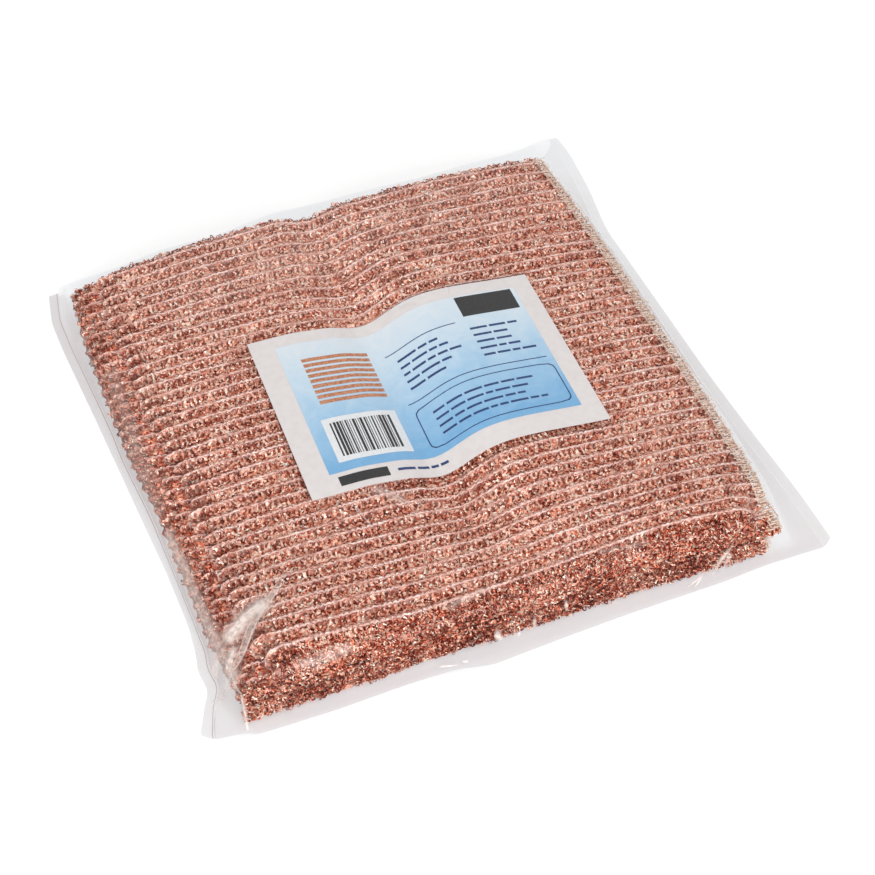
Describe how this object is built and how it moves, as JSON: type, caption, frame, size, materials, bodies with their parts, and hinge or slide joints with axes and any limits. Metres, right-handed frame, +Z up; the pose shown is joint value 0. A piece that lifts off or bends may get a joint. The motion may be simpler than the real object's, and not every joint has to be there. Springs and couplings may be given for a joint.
{
  "type": "pack of copper scouring cloths",
  "caption": "Flat retail pack of ribbed copper scouring cloths, folded and overlocked, stacked in a clear film bag with an open end and a paper label.",
  "frame": {"origin": "centre of the pack's footprint on the surface that it lies on", "axes": "+X along the ribs from the folded edge of the cloths to their overlocked edge, +Y from the folded front of the bag to its open mouth, +Z up"},
  "size_m": [0.277, 0.298, 0.0308],
  "materials": {
    "copper_knit": "sparkling copper-coloured metal yarn, knitted in ribs",
    "overlock_thread": "matte cream sewing thread",
    "clear_film": "clear glossy film with soft creases",
    "label_paper": "coated white paper with pale blue print"
  },
  "bodies": {
    "bag": {"film_upper": "clear_film", "film_lower": "clear_film", "film_front_fold": "clear_film", "weld_left": "clear_film", "weld_right": "clear_film", "label": "label_paper"},
    "cloth_01": {"cloth_01": "copper_knit", "cloth_01_overlock": "overlock_thread"},
    "cloth_02": {"cloth_02": "copper_knit", "cloth_02_overlock": "overlock_thread"},
    "cloth_03": {"cloth_03": "copper_knit", "cloth_03_overlock": "overlock_thread"},
    "cloth_04": {"cloth_04": "copper_knit", "cloth_04_overlock": "overlock_thread"},
    "cloth_05": {"cloth_05": "copper_knit", "cloth_05_overlock": "overlock_thread"},
    "cloth_06": {"cloth_06": "copper_knit", "cloth_06_overlock": "overlock_thread"},
    "cloth_07": {"cloth_07": "copper_knit", "cloth_07_overlock": "overlock_thread"},
    "cloth_08": {"cloth_08": "copper_knit", "cloth_08_overlock": "overlock_thread"},
    "cloth_09": {"cloth_09": "copper_knit", "cloth_09_overlock": "overlock_thread"},
    "cloth_10": {"cloth_10": "copper_knit", "cloth_10_overlock": "overlock_thread"}
  },
  "joints": [
    {"name": "pull_01", "type": "slide", "parent": "bag", "child": "cloth_01", "axis": [0, 1, 0], "range_m": [0, 0.295]},
    {"name": "pull_02", "type": "slide", "parent": "bag", "child": "cloth_02", "axis": [0, 1, 0], "range_m": [0, 0.295]},
    {"name": "pull_03", "type": "slide", "parent": "bag", "child": "cloth_03", "axis": [0, 1, 0], "range_m": [0, 0.295]},
    {"name": "pull_04", "type": "slide", "parent": "bag", "child": "cloth_04", "axis": [0, 1, 0], "range_m": [0, 0.295]},
    {"name": "pull_05", "type": "slide", "parent": "bag", "child": "cloth_05", "axis": [0, 1, 0], "range_m": [0, 0.295]},
    {"name": "pull_06", "type": "slide", "parent": "bag", "child": "cloth_06", "axis": [0, 1, 0], "range_m": [0, 0.295]},
    {"name": "pull_07", "type": "slide", "parent": "bag", "child": "cloth_07", "axis": [0, 1, 0], "range_m": [0, 0.295]},
    {"name": "pull_08", "type": "slide", "parent": "bag", "child": "cloth_08", "axis": [0, 1, 0], "range_m": [0, 0.295]},
    {"name": "pull_09", "type": "slide", "parent": "bag", "child": "cloth_09", "axis": [0, 1, 0], "range_m": [0, 0.295]},
    {"name": "pull_10", "type": "slide", "parent": "bag", "child": "cloth_10", "axis": [0, 1, 0], "range_m": [0, 0.295]}
  ]
}
